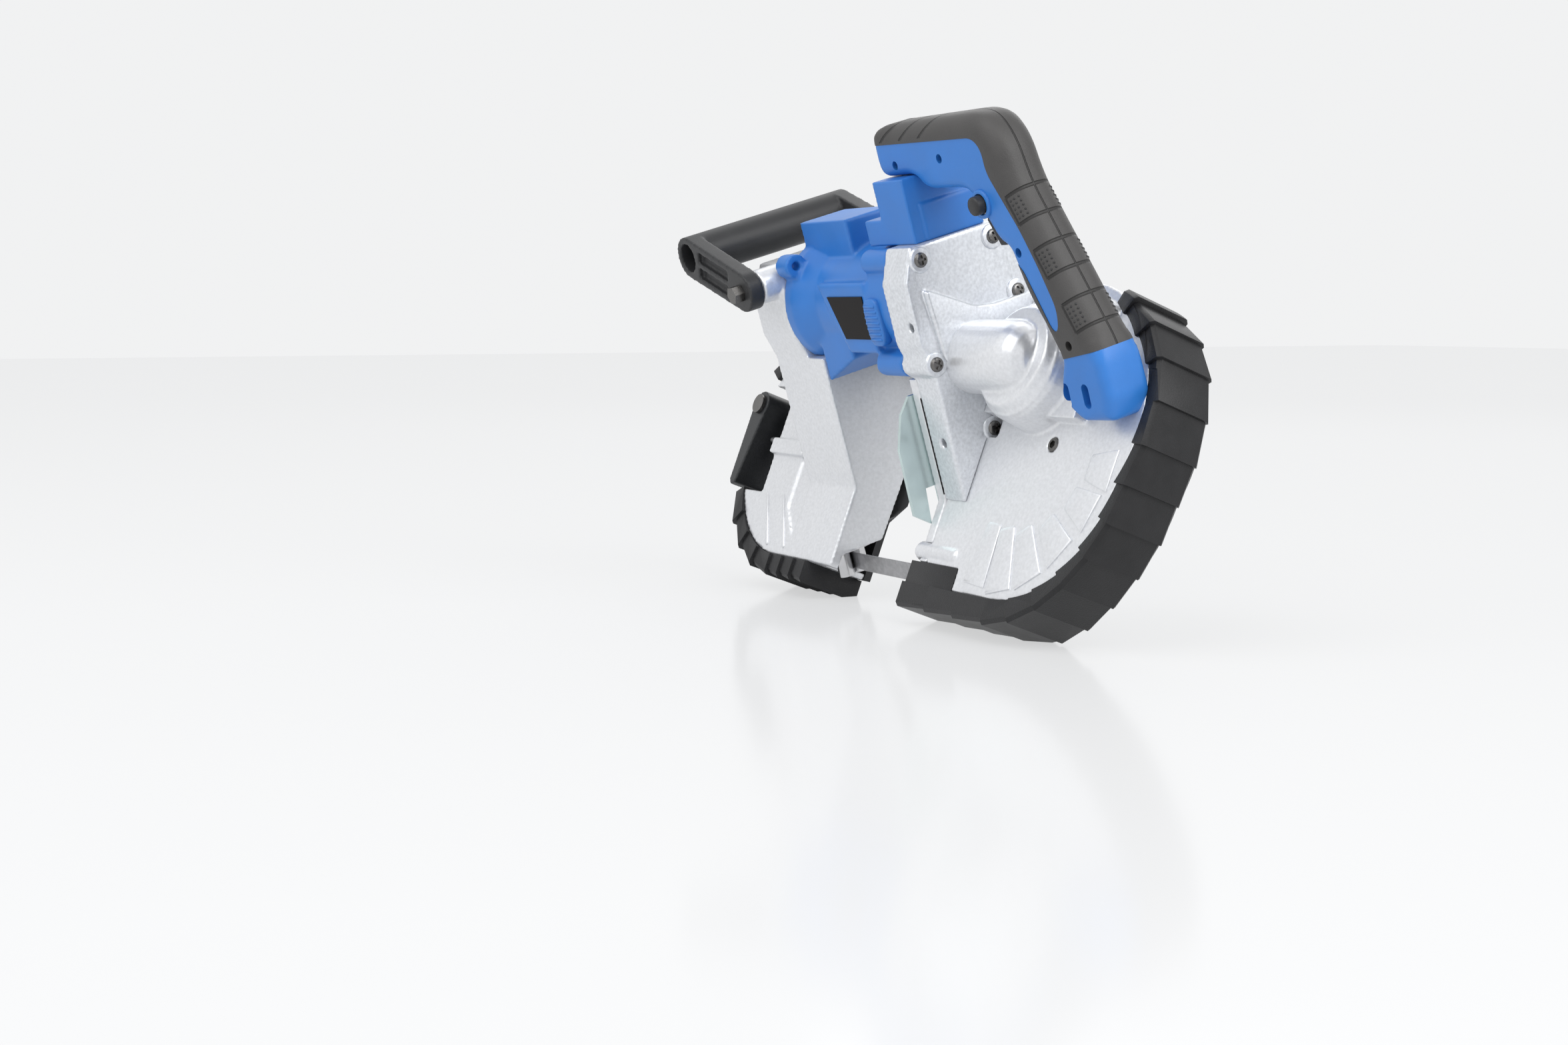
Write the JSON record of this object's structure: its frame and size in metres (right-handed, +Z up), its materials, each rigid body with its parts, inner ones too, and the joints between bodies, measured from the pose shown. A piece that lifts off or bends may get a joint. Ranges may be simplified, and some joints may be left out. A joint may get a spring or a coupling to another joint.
{
  "type": "portable band saw",
  "caption": "Hand-held electric band saw with a tilted wheel housing, open throat, angled trigger handle, front bail handle and rubber bumpers.",
  "frame": {"origin": "middle of the bounding box, on the surface that the saw stands on", "axes": "+X along the blade towards the trigger handle, +Z up, -Y towards the motor side"},
  "size_m": [0.5304, 0.1949, 0.3522],
  "materials": {
    "silver_casting": "smooth silver paint on die castings",
    "hammered_casting": "hammered silver paint on die castings",
    "blue_plastic": "moulded blue plastic",
    "grip_rubber": "soft dark grey grip rubber",
    "bumper_rubber": "near black bumper rubber",
    "black_plastic": "moulded black plastic",
    "bright_steel": "ground bright steel",
    "blade_steel": "rolled blade steel",
    "zinc_plate": "zinc plated sheet",
    "black_screw": "blackened fasteners",
    "plate_black": "bare black plate",
    "wheel_rubber": "drive tyre rubber",
    "motor_iron": "laminated motor iron",
    "gear_steel": "hardened gear steel"
  },
  "bodies": {
    "frame": {"front_frame": "silver_casting", "rear_frame": "silver_casting", "throat_plate": "silver_casting", "gear_case": "hammered_casting", "front_wheel_cover": "black_plastic", "rear_wheel_cover": "black_plastic", "upper_blade_guard": "black_plastic", "front_bumper": "bumper_rubber", "front_bumper_upper": "bumper_rubber", "rear_bumper": "bumper_rubber", "motor_housing": "blue_plastic", "handle_foot": "blue_plastic", "handle_near_half": "blue_plastic", "handle_far_half": "blue_plastic", "handle_grip": "grip_rubber", "rating_plate": "plate_black", "bail_bolts": "bright_steel", "lever_pin": "black_screw", "motor_stator": "motor_iron", "front_motor_bearing": "bright_steel", "rear_motor_bearing": "bright_steel", "spindle_bearing": "bright_steel", "carriage_rails": "gear_steel", "tension_springs": "bright_steel", "front_guide": "bright_steel", "rear_guide": "bright_steel", "saw_blade": "blade_steel", "shoe_screws": "black_screw", "gear_case_screws": "black_screw", "handle_screws": "black_screw", "hex_plug": "black_screw"},
    "drive_wheel": {"drive_wheel": "silver_casting", "drive_tyre": "wheel_rubber", "drive_spindle": "bright_steel", "wheel_gear": "gear_steel"},
    "idler_carriage": {"idler_carriage": "gear_steel", "idler_axle": "bright_steel"},
    "idler_wheel": {"idler_wheel": "silver_casting", "idler_tyre": "wheel_rubber", "idler_bearing": "bright_steel"},
    "bevel_gear_shaft": {"bevel_gear_shaft": "gear_steel"},
    "intermediate_shaft": {"intermediate_shaft": "gear_steel"},
    "motor_armature": {"motor_armature": "motor_iron", "motor_fan": "black_plastic", "motor_pinion": "gear_steel"},
    "front_near_roller": {"front_near_roller": "bright_steel"},
    "front_far_roller": {"front_far_roller": "bright_steel"},
    "rear_near_roller": {"rear_near_roller": "bright_steel"},
    "rear_far_roller": {"rear_far_roller": "bright_steel"},
    "tension_lever": {"tension_lever": "black_plastic"},
    "bail_handle": {"bail_handle": "black_plastic"},
    "trigger": {"trigger": "black_plastic"},
    "lock_button": {"lock_button": "black_plastic"},
    "shoe": {"shoe": "zinc_plate"}
  },
  "joints": [
    {"name": "drive_wheel_spin", "type": "hinge", "parent": "frame", "child": "drive_wheel", "pos_m": [0.15684, 0.02733, 0.1085], "axis": [0, -0.9342, 0.3567], "continuous": true},
    {"name": "idler_carriage_slide", "type": "slide", "parent": "frame", "child": "idler_carriage", "axis": [1, 0, 0], "range_m": [0, 0.006]},
    {"name": "idler_wheel_spin", "type": "hinge", "parent": "idler_carriage", "child": "idler_wheel", "pos_m": [-0.15516, 0.02733, 0.1085], "axis": [0, -0.9342, 0.3567], "continuous": true},
    {"name": "bevel_gear_spin", "type": "hinge", "parent": "frame", "child": "bevel_gear_shaft", "pos_m": [0.14084, -0.00029, 0.18755], "axis": [0, -0.9342, 0.3567], "continuous": true},
    {"name": "intermediate_shaft_spin", "type": "hinge", "parent": "frame", "child": "intermediate_shaft", "pos_m": [0.09084, -0.00029, 0.18755], "axis": [1, 0, 0], "continuous": true},
    {"name": "motor_spin", "type": "hinge", "parent": "frame", "child": "motor_armature", "pos_m": [0.00084, -0.00796, 0.22841], "axis": [1, 0, 0], "continuous": true},
    {"name": "front_near_roller_spin", "type": "hinge", "parent": "frame", "child": "front_near_roller", "pos_m": [-0.07626, -0.00847, 0.02916], "axis": [0, -0.2823, 0.9593], "continuous": true},
    {"name": "front_far_roller_spin", "type": "hinge", "parent": "frame", "child": "front_far_roller", "pos_m": [-0.07626, 0.00434, 0.03293], "axis": [0, -0.2823, 0.9593], "continuous": true},
    {"name": "rear_near_roller_spin", "type": "hinge", "parent": "frame", "child": "rear_near_roller", "pos_m": [0.07584, -0.00847, 0.02916], "axis": [0, -0.2823, 0.9593], "continuous": true},
    {"name": "rear_far_roller_spin", "type": "hinge", "parent": "frame", "child": "rear_far_roller", "pos_m": [0.07584, 0.00434, 0.03293], "axis": [0, -0.2823, 0.9593], "continuous": true},
    {"name": "tension_lever_turn", "type": "hinge", "parent": "frame", "child": "tension_lever", "pos_m": [-0.25366, 0.02913, 0.13564], "axis": [0, -0.9342, 0.3567], "range_deg": [-120, 0]},
    {"name": "bail_handle_turn", "type": "hinge", "parent": "frame", "child": "bail_handle", "pos_m": [-0.09716, -0.01502, 0.2524], "axis": [0, 0.9593, 0.2823], "range_deg": [-45, 75]},
    {"name": "trigger_press", "type": "slide", "parent": "frame", "child": "trigger", "axis": [0.8829, -0.1326, 0.4504], "range_m": [0, 0.005], "stiffness_N_per_m": 600, "springref_m": -0.004},
    {"name": "lock_button_press", "type": "slide", "parent": "frame", "child": "lock_button", "axis": [0, 0.9593, 0.2823], "range_m": [0, 0.003], "stiffness_N_per_m": 400, "springref_m": -0.002},
    {"name": "shoe_slide", "type": "slide", "parent": "frame", "child": "shoe", "axis": [0, -0.2823, 0.9593], "range_m": [-0.01, 0.005]}
  ],
  "couplings": [
    {"joint": "idler_wheel_spin", "follows": "drive_wheel_spin", "ratio": 1},
    {"joint": "bevel_gear_spin", "follows": "drive_wheel_spin", "ratio": -2.9395},
    {"joint": "intermediate_shaft_spin", "follows": "drive_wheel_spin", "ratio": 6.6138},
    {"joint": "motor_spin", "follows": "drive_wheel_spin", "ratio": -11.257},
    {"joint": "tension_lever_turn", "follows": "idler_carriage_slide", "rad_per_m": -349.07},
    {"joint": "front_near_roller_spin", "follows": "drive_wheel_spin", "ratio": -13.771},
    {"joint": "front_far_roller_spin", "follows": "drive_wheel_spin", "ratio": 13.771},
    {"joint": "rear_near_roller_spin", "follows": "drive_wheel_spin", "ratio": -13.771},
    {"joint": "rear_far_roller_spin", "follows": "drive_wheel_spin", "ratio": 13.771}
  ]
}
